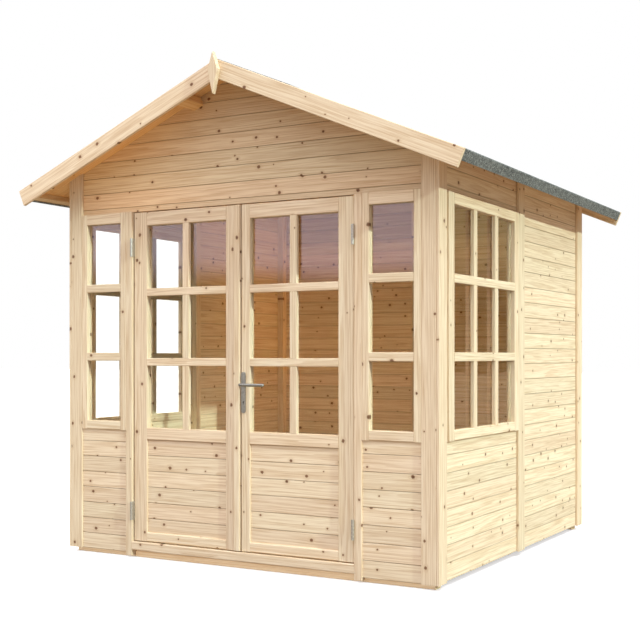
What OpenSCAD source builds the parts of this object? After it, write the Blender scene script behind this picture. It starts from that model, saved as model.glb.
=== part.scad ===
// Garden house with glazed double doors under a pitched felt roof.
// Millimetres, +Z up, front towards -Y, origin on the ground under the middle of the house.

/* [House] */
// Width over the corner trims
house_w = 2130; // [2060:10:2400]
// Depth over the corner trims
house_d = 2110; // [2060:10:2600]
// Height of the ridge, to the top of the felt, above the windows' and the doorway's upper edge
ridge_h = 660; // [560:2:900]
// Height of the walls' lower edge above the ground
wall_foot_h = 25; // [10:1:30]

/* [Floor] */
// Height of the bearers
bearer_h = 33; // [31:1:60]
// Width of a bearer
bearer_w = 60; // [40:1:90]
// Distance from an inner bearer's end to the inside of the cladding
bearer_inset = 31; // [0:1:60]
// Number of bearers
bearer_count = 5; // [3:1:7]
// Thickness of the floor deck
deck_floor_t = 18; // [15:1:28]

/* [Walls] */
// Thickness of the wall cladding
clad_t = 19; // [14:1:28]
// Width of a corner trim board and of a batten over a wall joint
trim_w = 88; // [60:1:100]
// Thickness of a trim board
trim_t = 15; // [10:1:20]
// Depth of the groove where the two boards of a corner trim meet
trim_groove = 3; // [1:0.5:5]
// Side of a square inner post
post_w = 45; // [30:1:60]
// Distance from the trims' face back to the panels under the front lights
front_panel_setback = 8; // [5:1:12]

/* [Windows] */
// Height of the windows' lower edge
window_foot_h = 650; // [560:1:800]
// Height of the windows' and the doorway's upper edge
head_h = 1768; // [1640:1:1800]
// Width of a side window over its frame
window_w = 900; // [500:1:920]
// Distance from the corner trim back to a side window
window_inset = 23; // [10:1:60]
// Depth of a window frame
frame_d = 45; // [38:1:60]
// Width of a side window's stile
window_stile_w = 60; // [40:1:80]
// Width of a front light's stile
light_stile_w = 36; // [25:1:60]
// Height of a window's upper rail
window_top_rail_h = 53; // [35:1:80]
// Height of a window's lower rail
window_foot_rail_h = 45; // [35:1:80]
// Thickness of the glass
glass_t = 4; // [3:0.5:6]
// Distance from the frame's face back to the glass
glass_setback = 22; // [15:1:30]
// Depth of the rebate round the glass
rebate_w = 10; // [5:1:15]

/* [Doorway] */
// Distance from the middle of the house to a door post
doorway_half_w = 643; // [600:1:680]
// Width of a door post
door_post_w = 40; // [30:1:60]
// Height of a door post's lower end above the ground
door_post_foot_h = 12; // [5:1:25]
// Height of the threshold's lower edge above the ground
threshold_foot_h = 40; // [30:1:45]
// Height of the threshold board
threshold_h = 43; // [30:1:60]
// Distance from the middle of the house to the middle of the joint between the leaves
meeting_x = 17.5; // [0:0.5:30]
// Gap all round a door leaf
leaf_gap = 6; // [5:0.5:8]

/* [Door leaves] */
// Thickness of a leaf
leaf_t = 45; // [38:1:55]
// Distance from the trims' face back to the leaf's face
leaf_setback = 12; // [8:1:20]
// Distance from the middle of the house to the inner edge of a leaf's glass
leaf_glass_x0 = 70; // [64:1:90]
// Width of the stile at the hinges
hinge_stile_w = 82; // [60:1:110]
// Height of the upper rail
leaf_top_rail_h = 68; // [50:1:100]
// Height of the glass above the leaf's lower edge
leaf_glass_foot = 577; // [500:1:700]
// Height of the rail under the glass
lock_rail_h = 60; // [45:1:100]
// Height of the lower rail
leaf_foot_rail_h = 45; // [30:1:120]
// Thickness of the lower panel
leaf_panel_t = 15; // [12:1:20]
// Distance from the leaf's face back to the lower panel
leaf_panel_setback = 9; // [8:1:20]
// Width of the cover strip beside the joint between the leaves
strip_w = 34.5; // [25:0.5:45]
// Thickness of the cover strip
strip_t = 9; // [5:0.5:15]

/* [Hinges and handle] */
// Length of a hinge
hinge_l = 92; // [70:1:120]
// Radius of a hinge's knuckle
knuckle_r = 7; // [6:0.5:9]
// Radius of a hinge's pin
pin_r = 3.5; // [2.5:0.5:4.5]
// Thickness of a hinge plate
hinge_plate_t = 2; // [1.5:0.1:2.3]
// Reach of a hinge plate behind the knuckle
hinge_plate_w = 42; // [25:1:45]
// Height of the lower hinges' middle above the leaf's lower edge
hinge_foot = 151; // [100:1:250]
// Distance from the upper hinges' middle up to the leaf's upper edge
hinge_head = 177; // [100:1:250]
// Height of the handle's spindle
spindle_h = 892; // [800:1:1050]
// Distance from the leaf's inner edge to the spindle
spindle_inset = 14; // [13:1:30]
// Width of the handle's long plate
handle_plate_w = 24; // [20:1:30]
// Height of the handle's long plate
handle_plate_h = 198; // [160:1:230]
// Distance from the plate's upper end down to the spindle
handle_plate_top = 62; // [40:1:80]
// Thickness of the handle's long plate
handle_plate_t = 4; // [3:0.5:6]
// Length of the lever from the spindle
lever_l = 145; // [90:1:170]
// Radius of the lever's grip
lever_r = 8; // [6:0.5:10]
// Distance from the plate's face to the middle of the lever
lever_reach = 42; // [35:1:60]
// Radius of the bend between the lever's neck and its grip
bend_r = 18; // [12:1:24]
// Radius of the collar where the lever leaves the plate
collar_r = 10.5; // [10:0.5:11.5]
// Height of that collar
collar_t = 6; // [3:0.5:8]

/* [Roof] */
// Pitch of the roof in degrees
roof_pitch = 23; // [20:0.5:24]
// Distance from the middle of the house to the eave
eave_x = 1254; // [1220:1:1400]
// Reach of the roof past the front and rear trims
verge_reach = 175; // [100:1:300]
// Thickness of the roof boards
roof_deck_t = 19; // [14:1:25]
// Thickness of the felt
felt_t = 3; // [2:0.5:5]
// Depth of the felt that is folded down over the eave
felt_drop = 53; // [40:1:70]
// Width of the felt that is folded under the eave
felt_fold_w = 14; // [8:1:30]
// Width of the batten under the eave
eave_batten_w = 45; // [30:1:60]
// Width of a purlin
purlin_w = 60; // [40:1:90]
// Depth of a purlin
purlin_h = 45; // [40:1:60]
// Distance from the ridge down the slope to a purlin
purlin_s = 250; // [200:5:500]

/* [Barge boards] */
// Width of a barge board
barge_w = 85; // [75:1:100]
// Thickness of a barge board
barge_t = 18; // [14:1:22]
// Height of the finial's tip above the ridge
finial_rise = 30; // [10:1:60]
// Height of the finial above its widest place
finial_up = 85; // [60:1:110]
// Height of the finial below its widest place
finial_down = 114; // [80:1:140]
// Half of the finial's width
finial_half_w = 30; // [20:1:40]
// Thickness of the finial
finial_t = 28; // [15:1:35]

/* [Hidden] */
// Overrun of a cut past the face that it opens
cut = 1;
// Play between a hinge's pin and its bore
pin_play = 0.3;
// Play between the two knuckles of a hinge
knuckle_play = 0.4;
// Play between the roof boards and what carries them
roof_play = 0.3;
// Sides of a round piece
round_fn = 40;

ridge_z = head_h + ridge_h;
front_y = -house_d / 2;
side_x = house_w / 2;
clad_out_x = side_x - trim_t;
clad_in_x = clad_out_x - clad_t;
clad_out_y = front_y + trim_t;
clad_in_y = clad_out_y + clad_t;
floor_h = bearer_h + deck_floor_t;
threshold_top = threshold_foot_h + threshold_h;

post_out_x = doorway_half_w + door_post_w;
trim_in_x = side_x - trim_w;
leaf_out_x = doorway_half_w - leaf_gap;
leaf_foot_h = threshold_top + leaf_gap;
leaf_head_h = head_h - leaf_gap;
leaf_y = front_y + leaf_setback;
left_leaf_in_x = meeting_x - leaf_gap / 2;
right_leaf_in_x = meeting_x + leaf_gap / 2;
glass_foot_h = leaf_foot_h + leaf_glass_foot;
glass_head_h = leaf_head_h - leaf_top_rail_h;
leaf_glass_x1 = leaf_out_x - hinge_stile_w;
panel_foot_h = leaf_foot_h + leaf_foot_rail_h;
panel_head_h = glass_foot_h - lock_rail_h;

hinge_x = doorway_half_w - leaf_gap / 2;
hinge_y = front_y - knuckle_r - pin_play;
hinge_heights = [leaf_foot_h + hinge_foot, leaf_head_h - hinge_head];

spindle_x = right_leaf_in_x + spindle_inset;
plate_y = leaf_y - handle_plate_t;
plate_end_r = handle_plate_w / 2;
keyhole_r_share = 0.17;
keyhole_slot_share = 0.5;
keyhole_down_share = 0.42;

roof_cos = cos(roof_pitch);
roof_sin = sin(roof_pitch);
roof_tan = tan(roof_pitch);
cover_t = felt_t + roof_deck_t;
seat_t = cover_t + roof_play;
slope_l = eave_x / roof_cos;
verge_y = house_d / 2 + verge_reach;
deck_y = verge_y - barge_t;
finial_wide_h = ridge_z + finial_rise - finial_up;

window_y0 = front_y + trim_w + window_inset;
window_y1 = window_y0 + window_w;
joint_y = window_y1 + trim_w / 2;

spruce = "burlywood";
pale_spruce = "wheat";
felt_grey = "dimgray";
pane_blue = "lightblue";
steel = "silver";

// Box between two corners.
module block(low, high) {
    translate(low) cube(high - low);
}

// Children and their copy across the middle of the house.
module both_sides() {
    children();
    mirror([1, 0, 0]) children();
}

// Outline in X and Z, drawn out along Y.
module drawn_back(y0, y1, outline) {
    translate([0, y1, 0])
        rotate([90, 0, 0])
            linear_extrude(y1 - y0) polygon(outline);
}

// Point on the right slope, by its way down the slope and its depth under the felt.
function slope_point(s, n) = [s * roof_cos - n * roof_sin, ridge_z - s * roof_sin - n * roof_cos];

// Point under the ridge, by its depth square to the slope.
function ridge_point(n) = [0, ridge_z - n / roof_cos];

// Stretch of one layer of the right slope, from the ridge down.
function slope_layer(s1, n0, n1) =
    [ridge_point(n0), slope_point(s1, n0), slope_point(s1, n1), ridge_point(n1)];

// Batten under the right slope.
function slope_batten(s0, s1, n0, n1) =
    [slope_point(s0, n0), slope_point(s1, n0), slope_point(s1, n1), slope_point(s0, n1)];

// Space under the roof boards.
module under_roof() {
    eave_point = [eave_x, ridge_z - seat_t / roof_cos - eave_x * roof_tan];
    drawn_back(-verge_y, verge_y, [
        ridge_point(seat_t), eave_point, [eave_x, 0], [-eave_x, 0], [-eave_point[0], eave_point[1]]
    ]);
}

// Box that ends under the roof boards.
module block_to_roof(low, high) {
    intersection() {
        block(low, [high[0], high[1], ridge_z]);
        under_roof();
    }
}

// Bearers from side to side. The front and the rear one reach the cladding.
module floor_bearers() {
    last = bearer_count - 1;
    step = (-2 * clad_in_y - bearer_w) / last;
    color(spruce)
        for (i = [0:last]) {
            reach = i == 0 || i == last ? clad_in_x : clad_in_x - bearer_inset;
            y = clad_in_y + i * step;
            block([-reach, y, 0], [reach, y + bearer_w, bearer_h]);
        }
}

module floor_deck() {
    color(spruce) block([-clad_in_x, clad_in_y, bearer_h], [clad_in_x, -clad_in_y, floor_h]);
}

module door_threshold() {
    color(spruce)
        block([-doorway_half_w, front_y, threshold_foot_h], [doorway_half_w, clad_in_y, threshold_top]);
}

// Two boards of a front right corner, with the groove between them, up to the roof.
module corner_trim() {
    outline = [
        [0, 0], [0, trim_w], [-trim_t, trim_w], [-trim_t, trim_t], [-trim_w, trim_t], [-trim_w, 0],
        [-trim_t - trim_groove, 0], [-trim_t, trim_groove], [-trim_t + trim_groove, 0]
    ];
    intersection() {
        translate([side_x, front_y, wall_foot_h]) linear_extrude(ridge_z - wall_foot_h) polygon(outline);
        under_roof();
    }
}

module front_corner_trims() {
    color(pale_spruce) both_sides() corner_trim();
}

module rear_corner_trims() {
    color(pale_spruce) both_sides() mirror([0, 1, 0]) corner_trim();
}

// Inner posts in the corners, and at the joints of the side and rear walls.
module wall_posts() {
    color(spruce) {
        both_sides() {
            for (y = [clad_in_y, joint_y - post_w / 2, -clad_in_y - post_w])
                block_to_roof([clad_in_x - post_w, y, floor_h], [clad_in_x, y + post_w]);
        }
        block_to_roof([-post_w / 2, -clad_in_y - post_w, floor_h], [post_w / 2, -clad_in_y]);
    }
}

// Cladding under and beside the right front light.
module front_panel() {
    color(pale_spruce) {
        block([post_out_x, front_y + front_panel_setback, wall_foot_h],
              [trim_in_x, clad_in_y, window_foot_h]);
        block([trim_in_x, clad_out_y, wall_foot_h], [clad_in_x, clad_in_y, head_h]);
    }
}

module front_left_panel() {
    mirror([1, 0, 0]) front_panel();
}

module front_right_panel() {
    front_panel();
}

module door_posts() {
    color(pale_spruce)
        both_sides() block([doorway_half_w, front_y, door_post_foot_h], [post_out_x, clad_in_y, head_h]);
}

// Frame round a pane, drawn in the front wall's plane from its lower left corner.
module window_frame(w, stile_w) {
    h = head_h - window_foot_h;
    low = [stile_w, window_foot_rail_h];
    high = [w - stile_w, h - window_top_rail_h];
    difference() {
        cube([w, frame_d, h]);
        block([low[0], -cut, low[1]], [high[0], frame_d + cut, high[1]]);
        block([low[0] - rebate_w, glass_setback, low[1] - rebate_w],
              [high[0] + rebate_w, frame_d + cut, high[1] + rebate_w]);
    }
}

// Pane that fills the rebate of such a frame.
module window_pane(w, stile_w) {
    h = head_h - window_foot_h;
    block([stile_w - rebate_w, glass_setback, window_foot_rail_h - rebate_w],
          [w - stile_w + rebate_w, glass_setback + glass_t, h - window_top_rail_h + rebate_w]);
}

// Children put in the two front lights.
module in_front_lights() {
    both_sides() translate([post_out_x, front_y, window_foot_h]) children();
}

// Children put in the windows of the two side walls.
module in_side_windows() {
    both_sides() translate([side_x, window_y0, window_foot_h]) rotate([0, 0, 90]) children();
}

module front_light_frames() {
    color(pale_spruce) in_front_lights() window_frame(trim_in_x - post_out_x, light_stile_w);
}

module front_light_glass() {
    color(pane_blue) in_front_lights() window_pane(trim_in_x - post_out_x, light_stile_w);
}

module window_frames() {
    color(pale_spruce) in_side_windows() window_frame(window_w, window_stile_w);
}

module window_glass() {
    color(pane_blue) in_side_windows() window_pane(window_w, window_stile_w);
}

// Cladding over the front lights and doors, notched for the purlins.
module gable() {
    color(pale_spruce)
        difference() {
            block_to_roof([-clad_in_x, clad_out_y, head_h], [clad_in_x, clad_in_y]);
            both_sides() purlin();
        }
}

module front_gable() {
    gable();
}

module rear_gable() {
    mirror([0, 1, 0]) gable();
}

// Cladding of the right wall's front part, cut through for the window.
module side_front_panel() {
    color(pale_spruce)
        difference() {
            block_to_roof([clad_in_x, clad_out_y, wall_foot_h], [clad_out_x, joint_y]);
            block([clad_in_x - cut, window_y0, window_foot_h], [clad_out_x + cut, window_y1, head_h]);
        }
}

// Cladding of the right wall's rear part.
module side_rear_panel() {
    color(pale_spruce) block_to_roof([clad_in_x, joint_y, wall_foot_h], [clad_out_x, -clad_out_y]);
}

module left_wall_front_panel() {
    mirror([1, 0, 0]) side_front_panel();
}

module left_wall_rear_panel() {
    mirror([1, 0, 0]) side_rear_panel();
}

module right_wall_front_panel() {
    side_front_panel();
}

module right_wall_rear_panel() {
    side_rear_panel();
}

// Boards over the joints of the side and rear walls.
module wall_battens() {
    color(pale_spruce) {
        both_sides() block_to_roof([clad_out_x, window_y1, wall_foot_h], [side_x, window_y1 + trim_w]);
        block_to_roof([-trim_w / 2, -clad_out_y, wall_foot_h], [trim_w / 2, -front_y]);
    }
}

// Right half of the rear cladding.
module rear_panel() {
    color(pale_spruce) block([0, -clad_in_y, wall_foot_h], [clad_in_x, -clad_out_y, head_h]);
}

module rear_left_panel() {
    mirror([1, 0, 0]) rear_panel();
}

module rear_right_panel() {
    rear_panel();
}

// Beam under the right slope, from barge board to barge board.
module purlin() {
    drawn_back(-deck_y, deck_y, slope_batten(purlin_s, purlin_s + purlin_w, seat_t, seat_t + purlin_h));
}

module purlins() {
    color(spruce) both_sides() purlin();
}

module roof_deck() {
    color(spruce) drawn_back(-deck_y, deck_y, slope_layer(slope_l - felt_t, felt_t, cover_t));
}

module left_roof_deck() {
    mirror([1, 0, 0]) roof_deck();
}

module right_roof_deck() {
    roof_deck();
}

module eave_battens() {
    s1 = slope_l - felt_t;
    color(spruce)
        both_sides()
            drawn_back(-deck_y, deck_y, slope_batten(s1 - eave_batten_w, s1, cover_t, felt_drop - felt_t));
}

// Felt on the right slope, folded down over the eave and under it.
module roof_felt() {
    edge_s = slope_l - felt_t;
    fold_s = slope_l - felt_fold_w;
    fold_n = felt_drop - felt_t;
    color(felt_grey)
        drawn_back(-deck_y, deck_y, [
            ridge_point(0), slope_point(slope_l, 0), slope_point(slope_l, felt_drop),
            slope_point(fold_s, felt_drop), slope_point(fold_s, fold_n),
            slope_point(edge_s, fold_n), slope_point(edge_s, felt_t), ridge_point(felt_t)
        ]);
}

module left_roof_felt() {
    mirror([1, 0, 0]) roof_felt();
}

module right_roof_felt() {
    roof_felt();
}

// Board that closes the front end of the right slope.
module barge_board() {
    color(pale_spruce) drawn_back(-verge_y, -deck_y, slope_layer(slope_l, 0, barge_w));
}

module front_right_barge_board() {
    barge_board();
}

module front_left_barge_board() {
    mirror([1, 0, 0]) barge_board();
}

module rear_right_barge_board() {
    mirror([0, 1, 0]) barge_board();
}

module rear_left_barge_board() {
    mirror([0, 1, 0]) front_left_barge_board();
}

// Diamond over the joint of the front barge boards.
module finial() {
    drawn_back(-verge_y - finial_t, -verge_y, [
        [0, finial_wide_h + finial_up], [finial_half_w, finial_wide_h],
        [0, finial_wide_h - finial_down], [-finial_half_w, finial_wide_h]
    ]);
}

module finials() {
    color(pale_spruce) {
        finial();
        mirror([0, 1, 0]) finial();
    }
}

// Stiles and rails of a leaf that hangs on the right, with rebates for its glass and its panel.
module leaf_frame(in_x) {
    back_y = leaf_y + leaf_t + cut;
    glass_y = leaf_y + glass_setback;
    panel_y = leaf_y + leaf_panel_setback;
    color(pale_spruce)
        difference() {
            block([in_x, leaf_y, leaf_foot_h], [leaf_out_x, leaf_y + leaf_t, leaf_head_h]);
            block([leaf_glass_x0, leaf_y - cut, glass_foot_h], [leaf_glass_x1, back_y, glass_head_h]);
            block([leaf_glass_x0 - rebate_w, glass_y, glass_foot_h - rebate_w],
                  [leaf_glass_x1 + rebate_w, back_y, glass_head_h + rebate_w]);
            block([leaf_glass_x0, leaf_y - cut, panel_foot_h], [leaf_glass_x1, back_y, panel_head_h]);
            block([leaf_glass_x0 - rebate_w, panel_y, panel_foot_h - rebate_w],
                  [leaf_glass_x1 + rebate_w, back_y, panel_head_h + rebate_w]);
        }
}

module leaf_panel() {
    y = leaf_y + leaf_panel_setback;
    color(pale_spruce)
        block([leaf_glass_x0 - rebate_w, y, panel_foot_h - rebate_w],
              [leaf_glass_x1 + rebate_w, y + leaf_panel_t, panel_head_h + rebate_w]);
}

module leaf_glass() {
    y = leaf_y + glass_setback;
    color(pane_blue)
        block([leaf_glass_x0 - rebate_w, y, glass_foot_h - rebate_w],
              [leaf_glass_x1 + rebate_w, y + glass_t, glass_head_h + rebate_w]);
}

// Upper half of a hinge on the right, bored for the pin, with its plate on the leaf's edge.
module leaf_hinge() {
    half = hinge_l / 2;
    plate_y0 = knuckle_r + pin_play;
    plate_x0 = -leaf_gap / 2;
    color(steel)
        difference() {
            union() {
                translate([0, 0, knuckle_play / 2]) cylinder(r = knuckle_r, h = half, $fn = round_fn);
                block([plate_x0, 0, knuckle_play / 2], [plate_x0 + hinge_plate_t, plate_y0, half]);
                block([plate_x0, plate_y0, -half], [plate_x0 + hinge_plate_t, hinge_plate_w, half]);
            }
            translate([0, 0, -half]) cylinder(r = pin_r + pin_play, h = hinge_l, $fn = round_fn);
        }
}

// Lower half of a hinge on the right, with its pin and its plate on the post.
module post_hinge() {
    half = hinge_l / 2;
    plate_y0 = knuckle_r + pin_play;
    plate_x1 = leaf_gap / 2;
    color(steel) {
        translate([0, 0, -half]) cylinder(r = knuckle_r, h = half - knuckle_play / 2, $fn = round_fn);
        translate([0, 0, -half]) cylinder(r = pin_r, h = hinge_l - pin_r, $fn = round_fn);
        block([plate_x1 - hinge_plate_t, 0, -half], [plate_x1, plate_y0, -knuckle_play / 2]);
        block([plate_x1 - hinge_plate_t, plate_y0, -half], [plate_x1, hinge_plate_w, half]);
    }
}

// Children put at the two hinges on the right.
module at_hinges() {
    for (z = hinge_heights)
        translate([hinge_x, hinge_y, z]) children();
}

module left_leaf_frame() {
    mirror([1, 0, 0]) leaf_frame(-left_leaf_in_x);
}

module left_leaf_panel() {
    mirror([1, 0, 0]) leaf_panel();
}

module left_leaf_glass() {
    mirror([1, 0, 0]) leaf_glass();
}

module left_leaf_hinges() {
    mirror([1, 0, 0]) at_hinges() leaf_hinge();
}

// Strip on the face of the left leaf, flush with its edge.
module cover_strip() {
    color(pale_spruce)
        block([left_leaf_in_x - strip_w, leaf_y - strip_t, leaf_foot_h],
              [left_leaf_in_x, leaf_y, leaf_head_h]);
}

module right_leaf_frame() {
    leaf_frame(right_leaf_in_x);
}

module right_leaf_panel() {
    leaf_panel();
}

module right_leaf_glass() {
    leaf_glass();
}

module right_leaf_hinges() {
    at_hinges() leaf_hinge();
}

module post_hinges() {
    both_sides() at_hinges() post_hinge();
}

// Long plate with round ends and a keyhole.
module handle_plate() {
    top_z = handle_plate_top - plate_end_r;
    foot_z = handle_plate_top - handle_plate_h + plate_end_r;
    key_z = -handle_plate_h * keyhole_down_share;
    key_r = handle_plate_w * keyhole_r_share;
    slot_l = handle_plate_w * keyhole_slot_share;
    color(steel)
        translate([spindle_x, leaf_y, spindle_h])
            rotate([90, 0, 0])
                difference() {
                    union() {
                        for (z = [top_z, foot_z])
                            translate([0, z, 0])
                                cylinder(r = plate_end_r, h = handle_plate_t, $fn = round_fn);
                        block([-plate_end_r, foot_z, 0], [plate_end_r, top_z, handle_plate_t]);
                    }
                    translate([0, key_z, -cut])
                        cylinder(r = key_r, h = handle_plate_t + 2 * cut, $fn = round_fn);
                    block([-key_r / 2, key_z - slot_l, -cut], [key_r / 2, key_z, handle_plate_t + cut]);
                }
}

// Collar on the plate, neck with a round bend, and the grip with its round end.
module handle_lever() {
    neck_l = lever_reach - bend_r - pin_play;
    grip_l = lever_l - bend_r - lever_r;
    color(steel)
        translate([spindle_x, plate_y - pin_play, spindle_h]) {
            rotate([90, 0, 0]) cylinder(r = collar_r, h = collar_t, $fn = round_fn);
            rotate([90, 0, 0]) cylinder(r = lever_r, h = neck_l, $fn = round_fn);
            translate([bend_r, -neck_l, 0])
                rotate([0, 0, 180]) rotate_extrude(angle = 90, $fn = round_fn)
                    translate([bend_r, 0]) circle(r = lever_r, $fn = round_fn);
            translate([bend_r, -neck_l - bend_r, 0]) {
                rotate([0, 90, 0]) cylinder(r = lever_r, h = grip_l, $fn = round_fn);
                translate([grip_l, 0, 0]) sphere(r = lever_r, $fn = round_fn);
            }
        }
}

floor_bearers();
floor_deck();
door_threshold();
front_corner_trims();
rear_corner_trims();
wall_posts();
front_left_panel();
front_right_panel();
door_posts();
front_light_frames();
front_light_glass();
front_gable();
left_wall_front_panel();
left_wall_rear_panel();
right_wall_front_panel();
right_wall_rear_panel();
window_frames();
window_glass();
wall_battens();
rear_left_panel();
rear_right_panel();
rear_gable();
purlins();
left_roof_deck();
right_roof_deck();
eave_battens();
left_roof_felt();
right_roof_felt();
front_left_barge_board();
front_right_barge_board();
rear_left_barge_board();
rear_right_barge_board();
finials();
left_leaf_frame();
left_leaf_panel();
left_leaf_glass();
left_leaf_hinges();
cover_strip();
right_leaf_frame();
right_leaf_panel();
right_leaf_glass();
right_leaf_hinges();
handle_plate();
handle_lever();
post_hinges();
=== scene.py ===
import math
import random

import bmesh
import bpy
from mathutils import Matrix, Vector, noise


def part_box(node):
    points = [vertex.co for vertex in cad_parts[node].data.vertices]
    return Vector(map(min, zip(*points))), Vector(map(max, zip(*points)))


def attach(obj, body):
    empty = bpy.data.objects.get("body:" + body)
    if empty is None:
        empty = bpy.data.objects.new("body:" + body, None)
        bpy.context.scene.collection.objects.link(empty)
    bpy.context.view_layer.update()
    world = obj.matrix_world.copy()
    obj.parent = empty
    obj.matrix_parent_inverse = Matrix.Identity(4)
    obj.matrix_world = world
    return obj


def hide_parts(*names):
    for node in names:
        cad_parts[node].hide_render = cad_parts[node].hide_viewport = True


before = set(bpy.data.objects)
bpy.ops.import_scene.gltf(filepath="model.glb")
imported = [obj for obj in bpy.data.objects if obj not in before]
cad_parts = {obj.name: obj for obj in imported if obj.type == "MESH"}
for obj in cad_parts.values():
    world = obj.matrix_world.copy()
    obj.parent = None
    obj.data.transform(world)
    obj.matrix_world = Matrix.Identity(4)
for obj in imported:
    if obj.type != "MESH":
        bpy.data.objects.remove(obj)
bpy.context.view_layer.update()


# The view of the house: a level camera before the right corner, at the height of the
# door handles, with a portrait lens. The picture is shifted on the film, not tilted.
camera = bpy.data.objects.new("camera", bpy.data.cameras.new("camera"))
camera.data.lens = 63.55
camera.data.sensor_width = 36.0
camera.data.shift_y = 0.0555
camera.location = (3.0612, -5.5908, 1.0332)
camera.rotation_euler = (math.radians(90), 0, math.radians(29.782))
bpy.context.scene.collection.objects.link(camera)
bpy.context.scene.camera = camera


# Floor bearers: five rough-sawn spruce battens that lie on the ground from side to side.
# Their long edges are rounded off, and the floor is nailed down on them.
chance = random.Random(11)
log_l = 40.0
hair = 1e-6
axes = [Vector(axis) for axis in ((1, 0, 0), (0, 1, 0), (0, 0, 1))]
X, Y, Z = axes


def eased_outline(width, depth, ease, steps=2):
    """Cross-section of a timber with eased edges, centred across, and in depth from its face inwards."""
    half = width / 2
    corners = ((half - ease, ease, 0), (half - ease, depth - ease, 1),
               (ease - half, depth - ease, 2), (ease - half, ease, 3))
    return [
        (across + ease * math.cos(turn), inward + ease * math.sin(turn))
        for across, inward, quarter in corners
        for turn in (math.pi / 2 * (quarter - 1 + step / steps) for step in range(steps + 1))
    ]


def stick(outline, foot, along, across, inward, length, cuts=(), end_ease=0.0, grain=None):
    """One timber: an outline drawn out from its foot and cut off at planes, with its place in the log."""
    shape = bmesh.new()
    middle = sum((Vector(point) for point in outline), Vector((0, 0))) / len(outline)
    stations = [(0, 0.0), (length, 0.0)]
    if end_ease:
        stations = [(0, end_ease), (end_ease, 0.0), (length - end_ease, 0.0), (length, end_ease)]
    rings = []
    for way, shrink in stations:
        ring = []
        for point in outline:
            offset = Vector(point) - middle
            aside, deep = middle + offset * (1 - shrink / offset.length)
            ring.append(shape.verts.new(foot + along * way + across * aside + inward * deep))
        rings.append(ring)
    count = len(outline)
    for first, second in zip(rings, rings[1:]):
        for i in range(count):
            j = (i + 1) % count
            shape.faces.new((first[i], first[j], second[j], second[i]))
    shape.faces.new(rings[0][::-1])
    shape.faces.new(rings[-1])
    for point, outward in cuts:
        everything = shape.verts[:] + shape.edges[:] + shape.faces[:]
        bmesh.ops.bisect_plane(
            shape, geom=everything, dist=hair, plane_co=point, plane_no=outward, clear_outer=True)
        bmesh.ops.holes_fill(shape, edges=shape.edges[:])
    bmesh.ops.recalc_face_normals(shape, faces=shape.faces[:])
    shape.verts.index_update()
    turn = Matrix(grain or (along, across, inward))
    shift = Vector((chance.uniform(0, log_l), 0, 0))
    made = {
        "points": [vert.co.copy() for vert in shape.verts],
        "faces": [[vert.index for vert in face.verts] for face in shape.faces],
        "grain": [turn @ (vert.co - foot) + shift for vert in shape.verts],
        "board": (chance.random(), chance.random(), chance.random()),
    }
    shape.free()
    return made


def timber(low, high, along, ease, cuts=()):
    """One straight timber between two corners, with its grain along one axis."""
    low = Vector(low)
    high = Vector(high)
    thin, wide = sorted((i for i in range(3) if i != along), key=lambda i: high[i] - low[i])
    size = high - low
    foot = low + axes[wide] * size[wide] / 2
    outline = eased_outline(size[wide], size[thin], ease)
    return stick(outline, foot, axes[along], axes[wide], axes[thin], size[along], cuts)


def joined_piece(name, sticks, finish, body, slot, *nodes):
    """Joins sticks to one piece that rides on a body and stands for the solids named."""
    mesh = bpy.data.meshes.new(name)
    points, faces, grain, board = [], [], [], []
    for one in sticks:
        start = len(points)
        points += one["points"]
        faces += [[start + i for i in face] for face in one["faces"]]
        grain += one["grain"]
        board += [one["board"]] * len(one["points"])
    mesh.from_pydata(points, [], faces)
    for label, values in (("grain", grain), ("board", board)):
        attribute = mesh.attributes.new(label, "FLOAT_VECTOR", "POINT")
        attribute.data.foreach_set("vector", [x for value in values for x in value])
    mesh.materials.append(finish)
    piece = bpy.data.objects.new(name, mesh)
    bpy.context.scene.collection.objects.link(piece)
    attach(piece, body)
    if nodes:
        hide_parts(*nodes)


def shader_node(tree, kind, inputs=(), **settings):
    """New shader node with its settings, and with its inputs set or wired by order or by name."""
    made = tree.nodes.new(kind)
    for key, value in settings.items():
        setattr(made, key, value)
    for key, value in inputs.items() if isinstance(inputs, dict) else enumerate(inputs):
        if isinstance(value, bpy.types.NodeSocket):
            tree.links.new(value, made.inputs[key])
        elif value is not None:
            made.inputs[key].default_value = value
    return made


def calc(tree, operation, *values):
    """Result of one sum on plain values."""
    return shader_node(tree, "ShaderNodeMath", values, operation=operation).outputs[0]


def vector_calc(tree, operation, *values):
    """Result of one sum on vectors."""
    made = shader_node(tree, "ShaderNodeVectorMath", values, operation=operation)
    return made.outputs["Value" if operation == "LENGTH" else "Vector"]


def remap(tree, value, low, high, to_low=0.0, to_high=1.0):
    """Value eased from one range to another."""
    made = shader_node(tree, "ShaderNodeMapRange", (value, low, high, to_low, to_high),
                       interpolation_type="SMOOTHSTEP")
    return made.outputs[0]


def blend(tree, share, first, second, blend_type="MIX"):
    """One colour laid over another by a share."""
    made = shader_node(tree, "ShaderNodeMix", {0: share, 6: first, 7: second},
                       data_type="RGBA", blend_type=blend_type)
    return made.outputs[2]


def cloud(tree, vector, detail=1.0, scale=1.0):
    """Soft noise over a vector: its value and its colour."""
    made = shader_node(tree, "ShaderNodeTexNoise", {"Vector": vector, "Scale": scale, "Detail": detail})
    return made.outputs[0], made.outputs[1]


def vary(tree, value, spread, base):
    """Base that a value from 0 to 1 moves up or down by half the spread."""
    return calc(tree, "MULTIPLY_ADD", calc(tree, "SUBTRACT", value, 0.5), spread, base)


def parts_of(tree, vector):
    """The three parts of a vector."""
    return shader_node(tree, "ShaderNodeSeparateXYZ", [vector]).outputs


def vector_of(tree, *parts):
    """Vector made of three parts."""
    return shader_node(tree, "ShaderNodeCombineXYZ", parts).outputs[0]


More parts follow.
